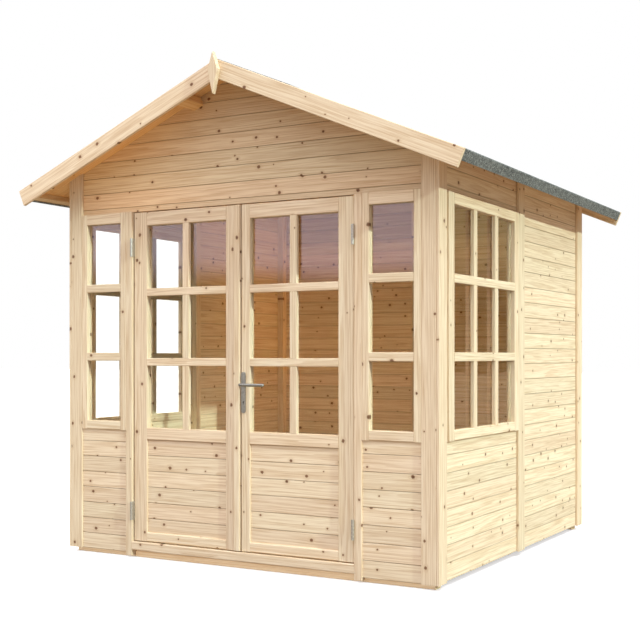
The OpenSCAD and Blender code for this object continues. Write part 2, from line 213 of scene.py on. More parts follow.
def board_knots(tree, grain, apart, share):
    """Knots of a board, at most one to a patch of it: the way from the knot, its size and its masks."""
    patch = (0.125, 0.078, 1.0)
    length_share = 0.85
    smallest_r = 0.0030
    spread_r = 0.0060
    spot = vector_calc(tree, "ADD", vector_calc(tree, "DIVIDE", grain, patch), apart)
    cells = shader_node(tree, "ShaderNodeTexVoronoi", {"Vector": spot, "Scale": 1.0, "Randomness": 0.85},
                        voronoi_dimensions="2D")
    away = vector_calc(tree, "SUBTRACT", spot, cells.outputs["Position"])
    away = vector_calc(tree, "MULTIPLY", away, (patch[0] * length_share, patch[1], 0.0))
    luck = shader_node(tree, "ShaderNodeSeparateColor", [cells.outputs["Color"]]).outputs
    bare = calc(tree, "SUBTRACT", 1.0, share)
    here = calc(tree, "GREATER_THAN", luck[0], bare)
    size = calc(tree, "DIVIDE", calc(tree, "SUBTRACT", luck[0], bare), share)
    size = calc(tree, "MULTIPLY_ADD", size, spread_r, smallest_r)
    edge, _ = cloud(tree, vector_calc(tree, "MULTIPLY", grain, (160.0, 160.0, 160.0)))
    radius = calc(tree, "MULTIPLY", vector_calc(tree, "LENGTH", away), vary(tree, edge, 0.7, 1.0))
    near = calc(tree, "DIVIDE", radius, size)
    knot, heart, halo = (
        calc(tree, "MULTIPLY", remap(tree, near, outer, inner), here)
        for outer, inner in ((1.15, 0.7), (0.7, 0.1), (3.2, 0.9))
    )
    return away, size, knot, calc(tree, "MULTIPLY", heart, luck[1]), halo


def late_wood(tree, grain, board, ring_width, away, size, halo):
    """Dark side of the year rings: circles round a wandering pith, bent round the knots."""
    pith_aside = 0.07
    pith_wander = 0.03
    pith_least_depth = 0.02
    pith_depth_spread = 0.08
    along, across, depth = parts_of(tree, grain)
    _, second, third = parts_of(tree, board)
    _, wander = cloud(tree, vector_of(
        tree, calc(tree, "MULTIPLY", along, 0.9), calc(tree, "MULTIPLY", second, 61.0), 0.0))
    wander = shader_node(tree, "ShaderNodeSeparateColor", [wander]).outputs
    side = vary(tree, wander[0], pith_wander, vary(tree, second, pith_aside, across))
    aside = parts_of(tree, away)[1]
    bend = calc(tree, "MULTIPLY_ADD", size, 0.4, calc(tree, "ABSOLUTE", aside))
    bend = calc(tree, "MULTIPLY", calc(tree, "DIVIDE", aside, bend), calc(tree, "MULTIPLY", halo, size))
    side = calc(tree, "SUBTRACT", side, bend)
    deep = calc(tree, "MULTIPLY_ADD", third, pith_depth_spread, pith_least_depth)
    deep = calc(tree, "ADD", deep, vary(tree, wander[1], pith_wander, depth))
    from_pith = vector_calc(tree, "LENGTH", vector_of(tree, side, deep, 0.0))
    uneven, _ = cloud(tree, vector_calc(tree, "MULTIPLY", grain, (3.0, 70.0, 70.0)))
    year = calc(tree, "ADD", calc(tree, "DIVIDE", from_pith, ring_width), uneven)
    season = calc(tree, "FRACT", year)
    return calc(tree, "MULTIPLY", remap(tree, season, 0.25, 0.85), remap(tree, season, 1.0, 0.93))


def spruce_grain():
    """Shader group for spruce: year rings, fibres, streaks and knots, and painted shade along a board's
    edges, where its joints are.
    """
    heart_black = (0.02, 0.008, 0.004, 1.0)
    joint_shade_brown = (0.16, 0.09, 0.04, 1.0)
    joint_shade_w = 0.0030
    joint_shade_full_w = 0.0005
    joint_shade_share = 0.3
    tree = bpy.data.node_groups.new("spruce_grain", "ShaderNodeTree")
    for label, kind in (("Early wood", "Color"), ("Late wood", "Color"), ("Knot", "Color"),
                        ("Ring width", "Float"), ("Knots", "Float"), ("Tone spread", "Float"),
                        ("Half width", "Float")):
        tree.interface.new_socket(label, in_out="INPUT", socket_type="NodeSocket" + kind)
    for label, kind in (("Colour", "Color"), ("Roughness", "Float"), ("Height", "Float")):
        tree.interface.new_socket(label, in_out="OUTPUT", socket_type="NodeSocket" + kind)
    given = tree.nodes.new("NodeGroupInput").outputs
    grain, board = (
        shader_node(tree, "ShaderNodeAttribute", attribute_name=label).outputs["Vector"]
        for label in ("grain", "board")
    )
    first, _, third = parts_of(tree, board)
    apart = vector_of(tree, 0.0, calc(tree, "MULTIPLY", first, 97.0), 0.0)
    away, size, knot, heart, halo = board_knots(tree, grain, apart, given["Knots"])
    late = late_wood(tree, grain, board, given["Ring width"], away, size, halo)
    fibre, _ = cloud(tree, vector_calc(tree, "MULTIPLY", grain, (9.0, 420.0, 420.0)), 3.0)
    streak = vector_calc(tree, "ADD", vector_calc(tree, "MULTIPLY", grain, (5.0, 190.0, 190.0)), apart)
    streak, _ = cloud(tree, streak, 3.0)

    dark = calc(tree, "MULTIPLY", late, 0.5)
    dark = calc(tree, "MULTIPLY_ADD", remap(tree, streak, 0.40, 0.72), 0.7, dark)
    dark = vary(tree, fibre, 0.35, dark)
    dark = shader_node(tree, "ShaderNodeClamp", [dark, 0.0, 1.0]).outputs[0]
    colour = blend(tree, dark, given["Early wood"], given["Late wood"])
    for mask, share, over in ((halo, 0.55, given["Late wood"]), (knot, 0.85, given["Knot"]),
                              (heart, 0.7, heart_black)):
        colour = blend(tree, calc(tree, "MULTIPLY", mask, share), colour, over)
    tone = vary(tree, third, given["Tone spread"], 1.0)
    cooler = vary(tree, first, calc(tree, "MULTIPLY", given["Tone spread"], -0.5), tone)
    tint = shader_node(tree, "ShaderNodeCombineColor", [tone, cooler, cooler]).outputs[0]
    colour = blend(tree, 1.0, colour, tint, "MULTIPLY")
    # Painted shade: the colour turns darker brown along a board's long edges, for the shade in its joints.
    across = calc(tree, "ABSOLUTE", parts_of(tree, grain)[1])
    inside = calc(tree, "SUBTRACT", given["Half width"], across)
    joint_shade = remap(tree, inside, joint_shade_w, joint_shade_full_w, 0.0, joint_shade_share)
    colour = blend(tree, joint_shade, colour, joint_shade_brown)

    roughness = calc(tree, "MULTIPLY_ADD", late, -0.10, 0.66)
    roughness = calc(tree, "MULTIPLY_ADD", knot, -0.16, roughness)
    height = calc(tree, "MULTIPLY_ADD", late, 0.35, fibre)
    height = calc(tree, "MULTIPLY_ADD", knot, 0.5, height)
    shader_node(tree, "NodeGroupOutput", {"Colour": colour, "Roughness": roughness, "Height": height})
    return tree


spruce_grain_group = spruce_grain()


def new_finish(name):
    """Empty finish, with its nodes and its shader."""
    finish = bpy.data.materials.new(name)
    finish.use_nodes = True
    return finish, finish.node_tree, finish.node_tree.nodes["Principled BSDF"]


def add_relief(tree, skin, height, strength, distance):
    """Fine relief on a finish, from a height over the surface."""
    bump = shader_node(tree, "ShaderNodeBump", {
        "Strength": strength, "Distance": distance, "Height": height})
    tree.links.new(bump.outputs["Normal"], skin.inputs["Normal"])


def spruce(name, early, late, knots=0.3, spread=0.10, relief=0.0004, half_width=1.0):
    """Spruce finish: the grain group with the wood's own colours and relief."""
    knot_brown = (0.17, 0.06, 0.022, 1.0)
    ring_width = 0.0075
    finish, tree, skin = new_finish(name)
    skin.inputs["Specular IOR Level"].default_value = 0.25
    wood = shader_node(tree, "ShaderNodeGroup", node_tree=spruce_grain_group)
    for label, value in (("Early wood", early), ("Late wood", late), ("Knot", knot_brown),
                         ("Ring width", ring_width), ("Knots", knots), ("Tone spread", spread),
                         ("Half width", half_width)):
        wood.inputs[label].default_value = value
    tree.links.new(wood.outputs["Colour"], skin.inputs["Base Color"])
    tree.links.new(wood.outputs["Roughness"], skin.inputs["Roughness"])
    add_relief(tree, skin, wood.outputs["Height"], 0.5, relief)
    return finish


sawn_spruce = spruce("sawn_spruce", (0.84, 0.66, 0.44, 1), (0.68, 0.46, 0.25, 1), relief=0.0009)

bearer_w = 0.060
bearer_count = 5
bearer_inset = 0.031
bearer_ease = 0.005
low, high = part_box("floor_bearers")
bearers = []
for i in range(bearer_count):
    inset = bearer_inset if 0 < i < bearer_count - 1 else 0.0
    y0 = low.y + (high.y - low.y - bearer_w) * i / (bearer_count - 1)
    left_end = (low.x + inset, y0, low.z)
    right_end = (high.x - inset, y0 + bearer_w, high.z)
    bearers.append(timber(left_end, right_end, 0, bearer_ease))
joined_piece("floor_bearers_sawn", bearers, sawn_spruce, "house", "sawn_spruce", "floor_bearers")


# Floor deck: tongued and grooved spruce boards laid from front to back across the bearers.
# Each board hides its nails in the groove, so only the narrow joints show.
board_pitch = 0.08045
joint_gap = 0.0010
face_chamfer = 0.0020
tongue_l = 0.005
tongue_shares = (0.40, 0.64)
groove_play = 0.0003


def board_outline(thickness):
    """Cross-section of a tongued and grooved board with chamfered faces and the tongue on its upper edge."""
    half = (board_pitch - joint_gap) / 2
    tongue = [thickness * share for share in tongue_shares]
    play = groove_play
    chamfer = face_chamfer
    return [
        (chamfer - half, 0), (half - chamfer, 0), (half, chamfer), (half, tongue[0]),
        (half + tongue_l, tongue[0]), (half + tongue_l, tongue[1]), (half, tongue[1]),
        (half, thickness - chamfer), (half - chamfer, thickness), (chamfer - half, thickness),
        (-half, thickness - chamfer), (-half, tongue[1] + play), (tongue_l - half, tongue[1] + play),
        (tongue_l - half, tongue[0] - play), (-half, tongue[0] - play), (-half, chamfer),
    ]


def board_field(low, high, along, across, outward, first_edge, cuts=()):
    """Boards side by side over a box, with the first board's lower edge at a given place across."""
    low = Vector(low)
    high = Vector(high)
    thin = 3 - along - across
    inward = axes[thin] * -outward
    face = high[thin] if outward > 0 else low[thin]
    outline = board_outline(high[thin] - low[thin])
    edge = first_edge + board_pitch * math.floor((low[across] - first_edge) / board_pitch + hair)
    ends = [(axes[across] * high[across], axes[across]), (axes[across] * low[across], -axes[across])]
    made = []
    while edge < high[across] - joint_gap:
        foot = Vector((0, 0, 0))
        foot[along] = low[along]
        foot[across] = edge + board_pitch / 2
        foot[thin] = face
        made.append(stick(outline, foot, axes[along], axes[across], inward, high[along] - low[along],
                          ends + list(cuts)))
        edge += board_pitch
    return made


low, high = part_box("floor_deck")
floor_boards = board_field(low, high, 1, 0, 1, low.x)
joined_piece("floor_deck_boards", floor_boards, sawn_spruce, "house", "sawn_spruce", "floor_deck")


# Threshold: one planed spruce board on edge between the door posts, nailed to the front of the floor.
# It stands above the floor and covers its edge, just under the doors.
planed_spruce = spruce("planed_spruce", (0.855, 0.715, 0.54, 1), (0.66, 0.485, 0.315, 1), knots=0.42)
plank_ease = 0.003
low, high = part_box("door_threshold")
joined_piece("door_threshold_planed", [timber(low, high, 0, plank_ease)], planed_spruce,
             "house", "planed_spruce", "door_threshold")


# Corner trims: two planed boards at each corner, the side one covering the edge of the front one.
# Their long edges are chamfered, which leaves a groove where the two meet. They end under the roof boards.
trim_w = 0.088
trim_t = 0.015
trim_chamfer = 0.003
roof_pitch = math.radians(23)
felt_t = 0.003
deck_t = 0.019
ridge_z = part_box("right_roof_felt")[1].z
low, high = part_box("front_corner_trims")
house_side = high.x
house_end = -low.y
trim_foot = low.z


def slope_place(side, way, depth, y=0.0):
    """Point in the right (1) or left (-1) slope, by its way from the ridge and its depth under the felt."""
    reach = way * math.cos(roof_pitch) - depth * math.sin(roof_pitch)
    return Vector((side * reach, y, ridge_z - way * math.sin(roof_pitch) - depth * math.cos(roof_pitch)))


def slope_axes(side):
    """Way down one slope, and the way square into the roof."""
    down = slope_place(side, 1, 0) - slope_place(side, 0, 0)
    return down, slope_place(side, 0, 1) - slope_place(side, 0, 0)


roof_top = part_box("front_gable")[1].z
under_roof = [(Vector((0, 0, roof_top)), -slope_axes(side)[1]) for side in (1, -1)]


def corner_trim(side, end):
    """Two boards of one corner, on the right (1) or left (-1) side and at the front (-1) or rear (1) end."""
    corner_x = side * house_side
    corner_y = end * house_end
    face = eased_outline(trim_w - trim_t, trim_t, trim_chamfer)
    edge = eased_outline(trim_w, trim_t, trim_chamfer)
    rise = roof_top - trim_foot
    over = Vector((corner_x - side * (trim_w + trim_t) / 2, corner_y, trim_foot))
    beside = Vector((corner_x, corner_y - end * trim_w / 2, trim_foot))
    return [
        stick(face, over, Z, X * -side, Y * -end, rise, under_roof),
        stick(edge, beside, Z, Y * -end, X * -side, rise, under_roof),
    ]


for label, end in (("front", -1), ("rear", 1)):
    joined_piece(label + "_corner_boards", corner_trim(1, end) + corner_trim(-1, end), planed_spruce,
                 "house", "planed_spruce", label + "_corner_trims")


# Inner posts: square planed posts in the corners and behind the joints of the wall panels.
# The wall boards are nailed to them from outside.
post_w = 0.045
low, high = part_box("wall_posts")
posts = []
for x0 in (low.x, high.x - post_w):
    for y0 in (low.y, -post_w / 2, high.y - post_w):
        top = (x0 + post_w, y0 + post_w, roof_top)
        posts.append(timber((x0, y0, low.z), top, 2, plank_ease, under_roof))
rear_foot = (-post_w / 2, high.y - post_w, low.z)
posts.append(timber(rear_foot, (post_w / 2, high.y, roof_top), 2, plank_ease, under_roof))
joined_piece("inner_posts", posts, planed_spruce, "house", "planed_spruce", "wall_posts")


# Wall boards: tongued and grooved spruce boards, 19 mm thick, laid level from the foot of the wall up.
# The side and rear walls are panels that meet behind a batten; the gables end under the roof boards.
cladding = spruce("cladding", (0.855, 0.715, 0.54, 1), (0.665, 0.49, 0.32, 1), knots=0.42, spread=0.12,
                  half_width=(board_pitch - joint_gap) / 2)
# Painted shade: the gables get a darker copy of the cladding, for the shade under the roof's overhang.
shaded_gable_cladding = spruce("shaded_gable_cladding", (0.775, 0.62, 0.435, 1), (0.60, 0.42, 0.258, 1), knots=0.42,
                        spread=0.12, half_width=(board_pitch - joint_gap) / 2)
wall_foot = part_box("front_left_panel")[0].z
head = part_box("front_gable")[0].z
window_low, window_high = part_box("window_frames")
sill = window_low.z


def wall_boards(name, node, outward, parts, cuts=(), finish=cladding):
    """Level boards of one wall panel over the parts of it that stand beside, under and over openings."""
    low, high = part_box(node)
    along = 0 if high.x - low.x > high.y - low.y else 1
    made = []
    for part_low, part_high in parts:
        first = low.copy()
        last = high.copy()
        for axis in range(3):
            if part_low[axis] is not None:
                first[axis] = part_low[axis]
            if part_high[axis] is not None:
                last[axis] = part_high[axis]
        made += board_field(first, last, along, 2, outward, wall_foot, cuts)
    joined_piece(name, made, finish, "house", "cladding", node)


whole = [((None, None, None), (None, None, None))]
trim_edge = house_side - trim_w
behind_trim = trim_t - house_end
wall_boards("front_right_boards", "front_right_panel", -1, [
    ((None, None, None), (trim_edge, None, sill)), ((trim_edge, behind_trim, None), (None, None, None))])
wall_boards("front_left_boards", "front_left_panel", -1, [
    ((-trim_edge, None, None), (None, None, sill)), ((None, behind_trim, None), (-trim_edge, None, None))])
wall_boards("rear_right_boards", "rear_right_panel", 1, whole)
wall_boards("rear_left_boards", "rear_left_panel", 1, whole)
wall_boards("front_gable_boards", "front_gable", -1, whole, under_roof, shaded_gable_cladding)
wall_boards("rear_gable_boards", "rear_gable", 1, whole, under_roof, shaded_gable_cladding)
beside_window = [
    ((None, None, None), (None, None, sill)), ((None, None, sill), (None, window_low.y, head)),
    ((None, window_high.y, sill), (None, None, head)), ((None, None, head), (None, None, None)),
]
for label, outward in (("left", -1), ("right", 1)):
    for end, parts in (("front", beside_window), ("rear", whole)):
        name = f"{label}_wall_{end}"
        wall_boards(name + "_boards", name + "_panel", outward, parts, under_roof)


# Wall battens: one planed upright board nailed over each joint of the side and rear walls.
# It has the same width and thickness as the corner trims.
low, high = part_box("wall_battens")
batten_y = (-trim_w / 2, trim_w / 2)
battens = [
    timber((x0, batten_y[0], low.z), (x0 + trim_t, batten_y[1], roof_top), 2, trim_chamfer, under_roof)
    for x0 in (low.x, high.x - trim_t)
]
rear_foot = (-trim_w / 2, high.y - trim_t, low.z)
battens.append(timber(rear_foot, (trim_w / 2, high.y, roof_top), 2, trim_chamfer, under_roof))
joined_piece("wall_joint_battens", battens, planed_spruce, "house", "planed_spruce", "wall_battens")


# Door posts: two planed uprights that carry the hinges, from the foot of the wall to the gable.
# They are screwed to the frames of the front lights and to the floor, and stand proud of the wall boards.
low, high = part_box("door_posts")
door_post_w = 0.040
door_posts = [
    timber((x0, low.y, low.z), (x0 + door_post_w, high.y, high.z), 2, plank_ease)
    for x0 in (low.x, high.x - door_post_w)
]
joined_piece("door_posts_planed", door_posts, planed_spruce, "house", "planed_spruce", "door_posts")


# Window frames: planed stiles and rails, rebated behind for the glass, in the front lights and side windows.
# Bars divide the panes in front of the glass, and thin beads hold the glass in its rebate from inside.
frame_ease = 0.003
glass_setback = 0.022
glass_t = 0.004
rebate_w = 0.010
bar_d = 0.0205
bead_d = 0.012
bead_ease = 0.002
bead_play = 0.0003
edge_bulge = 0.3
top_rail_h = 0.053
foot_rail_h = 0.045


def rebated_outline(width, depth):
    """Cross-section of a stile or rail: its opening edge is on the plus side, with the rebate behind."""
    half = width / 2
    ease = frame_ease
    bulge = ease * edge_bulge
    return [
        (ease - half, 0), (half - ease, 0), (half - bulge, bulge), (half, ease),
        (half, glass_setback), (half - rebate_w, glass_setback), (half - rebate_w, depth),
        (ease - half, depth), (-half, depth - ease), (-half, ease),
    ]


class Opening:
    """Plane of a window or leaf: a corner, the way across, and the way in."""

    def __init__(self, corner, across, inward):
        self.corner = Vector(corner)
        self.across = across
        self.inward = inward

    def upright(self, outline, middle, foot, head, flip=1):
        """Timber that stands with its middle at a place across."""
        start = self.corner + self.across * middle + Z * foot
        return stick(outline, start, Z, self.across * flip, self.inward, head - foot)

    def level(self, outline, middle, start, end, flip=1, deep=0.0):
        """Timber that lies with its middle at a height."""
        place = self.corner + self.across * start + Z * middle + self.inward * deep
        return stick(outline, place, self.across, Z * flip, self.inward, end - start)

    def frame(self, width, foot, head, left_w, right_w, foot_h, top_h, depth):
        """Two stiles from foot to head, with the rails between them."""
        rails = (left_w, width - right_w)
        return [
            self.upright(rebated_outline(left_w, depth), left_w / 2, foot, head),
            self.upright(rebated_outline(right_w, depth), width - right_w / 2, foot, head, -1),
            self.level(rebated_outline(foot_h, depth), foot + foot_h / 2, *rails),
            self.level(rebated_outline(top_h, depth), head - top_h / 2, *rails, -1),
        ]

    def bars(self, left, right, foot, head, columns, heights, bar_w, bar_h):
        """Level bars from side to side, and upright bars between them, in front of the glass."""
        flat = eased_outline(bar_h, bar_d, frame_ease)
        tall = eased_outline(bar_w, bar_d, frame_ease)
        made = [self.level(flat, height, left, right) for height in heights]
        steps = [foot]
        for height in heights:
            steps += [height - bar_h / 2, height + bar_h / 2]
        steps.append(head)
        pane_w = (right - left - (columns - 1) * bar_w) / columns
        for column in range(1, columns):
            middle = left + column * (pane_w + bar_w) - bar_w / 2
            made += [self.upright(tall, middle, low, high) for low, high in zip(steps[::2], steps[1::2])]
        return made

    def beads(self, left, right, foot, head):
        """Four thin strips in the rebate behind the glass."""
        profile = eased_outline(rebate_w, bead_d, bead_ease)
        behind = glass_setback + glass_t + bead_play
        made = []
        for middle in (left - rebate_w / 2, right + rebate_w / 2):
            start = self.corner + self.across * middle + Z * (foot - rebate_w) + self.inward * behind
            made.append(stick(profile, start, Z, self.across, self.inward, head - foot + 2 * rebate_w))
        for middle in (foot - rebate_w / 2, head + rebate_w / 2):
            made.append(self.level(profile, middle, left, right, 1, behind))
        return made


frame_d = 0.045
light_stile_w = 0.036
window_stile_w = 0.060
window_bar = 0.041
window_bar_heights = (1.027, 1.3825)
light_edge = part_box("door_posts")[1].x
light_w = trim_edge - light_edge
window_w = window_high.y - window_low.y
front_lights = [
    Opening((light_edge, -house_end, 0), X, Y),
    Opening((-light_edge, -house_end, 0), -X, Y),
]
side_windows = [
    Opening((house_side, window_low.y, 0), Y, -X),
    Opening((-house_side, window_low.y, 0), Y, X),
]
for label, node, openings, width, stile_w, columns in (
    ("front_light", "front_light_frames", front_lights, light_w, light_stile_w, 1),
    ("side_window", "window_frames", side_windows, window_w, window_stile_w, 3),
):
    frames, bars, beads = [], [], []
    panes = (stile_w, width - stile_w, sill + foot_rail_h, head - top_rail_h)
    for opening in openings:
        frames += opening.frame(width, sill, head, stile_w, stile_w, foot_rail_h, top_rail_h, frame_d)
        bars += opening.bars(*panes, columns, window_bar_heights, window_bar, window_bar)
        beads += opening.beads(*panes)
    joined_piece(label + "_joinery", frames, planed_spruce, "house", "planed_spruce", node)
    joined_piece(label + "_bars", bars, planed_spruce, "house", "planed_spruce")
    joined_piece(label + "_beads", beads, planed_spruce, "house", "planed_spruce")


# Glass: plain float glass, 4 mm thick, with a faint unevenness.
# It lies in the rebates of the frames and leaves, and keeps the shape of its solid.
def window_glass():
    """Clear glass that lets the light through to the room."""
    faint_green = (0.97, 0.985, 0.975, 1)
    shadow_tint = (0.96, 0.97, 0.96, 1)
    finish, tree, pane = new_finish("window_glass")
    pane.inputs["Base Color"].default_value = faint_green
    pane.inputs["Transmission Weight"].default_value = 1.0
    pane.inputs["IOR"].default_value = 1.47
    pane.inputs["Roughness"].default_value = 0.0
    at = shader_node(tree, "ShaderNodeTexCoord").outputs["Object"]
    wave, _ = cloud(tree, at, 0.0, 2.2)
    add_relief(tree, pane, wave, 0.3, 0.004)
    shadow = shader_node(tree, "ShaderNodeLightPath").outputs["Is Shadow Ray"]
    clear = shader_node(tree, "ShaderNodeBsdfTransparent", [shadow_tint])
    both = shader_node(tree, "ShaderNodeMixShader", [shadow, pane.outputs[0], clear.outputs[0]])
    tree.links.new(both.outputs[0], tree.nodes["Material Output"].inputs["Surface"])
    return finish


glass = window_glass()


def refinish(finish, *nodes):
    """Gives solids that keep their shape a finish of their own."""
    for node in nodes:
        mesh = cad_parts[node].data
        mesh.materials.clear()
        mesh.materials.append(finish)


refinish(glass, "front_light_glass", "window_glass", "left_leaf_glass", "right_leaf_glass")


# Purlins: two sawn beams of a warmer-coloured spruce, from gable to gable and out to the barge boards.
# They lie under the roof boards in notches of the gables.
# Painted light: this spruce is a warmer, more orange copy of the sawn one, for the warm light in the shade
# under the roof.
warm_lit_roof_spruce = spruce("warm_lit_roof_spruce", (0.90, 0.62, 0.33, 1), (0.76, 0.46, 0.21, 1), relief=0.0009)
purlin_w = 0.060
purlin_h = 0.045
purlin_s = 0.250
purlin_ease = 0.004
roof_play = 0.0003
cover_t = felt_t + deck_t
low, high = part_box("purlins")
purlins = []
for side in (1, -1):
    down, inward = slope_axes(side)
    foot = slope_place(side, purlin_s + purlin_w / 2, cover_t + roof_play, low.y)
    outline = eased_outline(purlin_w, purlin_h, purlin_ease)
    purlins.append(stick(outline, foot, Y, down, inward, high.y - low.y))
joined_piece("purlins_sawn", purlins, warm_lit_roof_spruce, "house", "sawn_spruce", "purlins")


# Roof boards: tongued and grooved boards laid from the ridge down to the eaves, nailed on purlins and walls.
# Their planed side faces down, so it shows under the overhang and inside.
low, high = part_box("right_roof_deck")
eave_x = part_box("right_roof_felt")[1].x
slope_l = eave_x / math.cos(roof_pitch)
for label, side in (("left", -1), ("right", 1)):
    down, inward = slope_axes(side)
    ends = [(Vector((0, 0, 0)), X * -side), (Y * high.y, Y)]
    made = []
    edge = low.y
    while edge < high.y - joint_gap:
        foot = slope_place(side, 0, cover_t, edge + board_pitch / 2)
        made.append(stick(board_outline(deck_t), foot, down, Y, -inward, slope_l - felt_t, ends))
        edge += board_pitch
    # The roof boards share the warmer spruce, whose orange is partly painted warm light.
    joined_piece(label + "_roof_boards", made, warm_lit_roof_spruce, "house", "sawn_spruce", label + "_roof_deck")


# Eave battens: a sawn batten nailed under the lower edge of each slope, from barge board to barge board.
# It stiffens the ends of the roof boards, and the felt is folded round it.
eave_batten_w = 0.045
eave_batten_ease = 0.002
felt_drop = 0.053
battens = []
for side in (1, -1):
    down, inward = slope_axes(side)
    foot = slope_place(side, slope_l - felt_t - eave_batten_w / 2, cover_t, low.y)
    outline = eased_outline(eave_batten_w, felt_drop - felt_t - cover_t, eave_batten_ease)
    battens.append(stick(outline, foot, Y, down, inward, high.y - low.y))
joined_piece("eave_battens_sawn", battens, sawn_spruce, "house", "sawn_spruce", "eave_battens")


# Roof felt: bitumen felt strewn with grey mineral grit, nailed on in two courses to a slope.
# The upper course laps over the lower one, and the lower one is folded down over the eave and under it.
felt_fold_w = 0.014
felt_lap_s = 0.430
felt_lap_t = 0.0025
felt_bend_r = 0.007
felt_lap_edge = 0.002
felt_play = 0.0004
felt_wave = 0.0016
felt_wave_rates = (3.1, 2.3)
felt_wave_apart = 5.0
felt_rows = 60


def felt_path():
    """Outer side of the felt from the ridge to its folded edge, as way down the slope and depth."""
    upper_steps = 12
    lower_steps = 24
    bend_steps = 4
    drop_steps = 3
    upper = [(felt_lap_s * i / upper_steps, -felt_lap_t) for i in range(upper_steps + 1)]
    lower_l = slope_l - felt_bend_r - felt_lap_s
    lower = [
        (felt_lap_s + felt_lap_edge + (lower_l - felt_lap_edge) * i / lower_steps, 0.0)
        for i in range(lower_steps + 1)
    ]
    turns = [math.pi / 2 * i / bend_steps for i in range(1, bend_steps + 1)]
    bend = [(slope_l - felt_bend_r * (1 - math.sin(t)), felt_bend_r * (1 - math.cos(t))) for t in turns]
    drop = [
        (slope_l, felt_bend_r + (felt_drop - felt_bend_r) * i / drop_steps)
        for i in range(1, drop_steps + 1)
    ]
    return upper + lower + bend + drop + [(slope_l - felt_fold_w, felt_drop)]


def felt_finish():
    """Dark bitumen under pale and dark mineral grains."""
    bitumen_black = (0.035, 0.039, 0.041, 1)
    grit_grey = (0.25, 0.265, 0.27, 1)
    grit_pale = (0.48, 0.47, 0.44, 1)
    pale_grains = 0.07
    finish, tree, skin = new_finish("mineral_felt")
    at = shader_node(tree, "ShaderNodeTexCoord").outputs["Object"]
    grit = shader_node(tree, "ShaderNodeTexVoronoi", {"Vector": at, "Scale": 330.0})
    shade = shader_node(tree, "ShaderNodeSeparateColor", [grit.outputs["Color"]]).outputs
    coarse, _ = cloud(tree, at, 3.0, 75.0)
    broad, _ = cloud(tree, at, 3.0, 4.0)
    grey = calc(tree, "MULTIPLY", shade[0], 0.5)
    grey = calc(tree, "MULTIPLY_ADD", remap(tree, coarse, 0.35, 0.68), 0.5, grey)
    grey = vary(tree, broad, 0.35, grey)
    colour = blend(tree, grey, bitumen_black, grit_grey)
    pale = calc(tree, "GREATER_THAN", shade[1], 1.0 - pale_grains)
    colour = blend(tree, calc(tree, "MULTIPLY", pale, 0.8), colour, grit_pale)
    tree.links.new(colour, skin.inputs["Base Color"])
    tree.links.new(calc(tree, "MULTIPLY_ADD", shade[2], 0.2, 0.75), skin.inputs["Roughness"])
    add_relief(tree, skin, calc(tree, "ADD", shade[0], coarse), 0.6, 0.0015)
    return finish


mineral_felt = felt_finish()
low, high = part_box("right_roof_felt")
outer = felt_path()
for label, side in (("left", -1), ("right", 1)):
    sheet = bmesh.new()
    grid = []
    for row in range(felt_rows + 1):
        y = low.y + (high.y - low.y) * row / felt_rows
        line = []
        for way, depth in outer:
            seed = Vector((side * way * felt_wave_rates[0], y * felt_wave_rates[1], side * felt_wave_apart))
            flat = 0 < way < slope_l - felt_bend_r and depth <= 0
            lift = felt_wave * noise.noise(seed) if flat else 0.0
            place = slope_place(side, way, depth - lift, y)
            if way == 0:
                place = Vector((0, y, ridge_z + felt_lap_t / math.cos(roof_pitch)))
            line.append(sheet.verts.new(place))
        grid.append(line)
    for first, second in zip(grid, grid[1:]):
        for i in range(len(outer) - 1):
            sheet.faces.new((first[i], first[i + 1], second[i + 1], second[i]))
    bmesh.ops.recalc_face_normals(sheet, faces=sheet.faces[:])
    mesh = bpy.data.meshes.new(label + "_felt_courses")
    sheet.to_mesh(mesh)
    sheet.free()
    mesh.materials.append(mineral_felt)
    felt = bpy.data.objects.new(label + "_felt_courses", mesh)
    bpy.context.scene.collection.objects.link(felt)
    thick = felt.modifiers.new("thickness", "SOLIDIFY")
    thick.thickness = felt_t - felt_play
    thick.offset = -1.0
    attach(felt, "house")
    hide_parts(label + "_roof_felt")


# Barge boards: planed boards that close the ends of the roof, from the ridge to the eaves.
# Each pair meets in an upright joint under the finial.
barge_w = 0.085
barge_t = 0.018
verge_y = -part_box("front_right_barge_board")[0].y
for end_label, end in (("front", -1), ("rear", 1)):
    for label, side in (("left", -1), ("right", 1)):
        down, inward = slope_axes(side)
        foot = slope_place(side, 0, barge_w / 2, end * verge_y)
        outline = eased_outline(barge_w, barge_t, plank_ease)
        upright_joint = [(Vector((0, 0, 0)), X * -side)]
        board = stick(outline, foot, down, inward, Y * -end, slope_l, upright_joint)
        name = f"{end_label}_{label}_barge"
        joined_piece(name, [board], planed_spruce, "house", "planed_spruce", name + "_board")


# Finials: a sawn and chamfered diamond of thick board nailed over the joint of the barge boards.
# Its grain stands upright.
low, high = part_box("finials")
finial_down = 0.114
finial_ease = 0.004
kite = [(0, high.z), (high.x, low.z + finial_down), (0, low.z), (low.x, low.z + finial_down)]
finial_t = -low.y - verge_y
finials = [
    stick(kite, Y * end * verge_y, Y * end, X, Z, finial_t, (), finial_ease, (Z, X, Y))
    for end in (-1, 1)
]
joined_piece("finial_diamonds", finials, planed_spruce, "house", "planed_spruce", "finials")


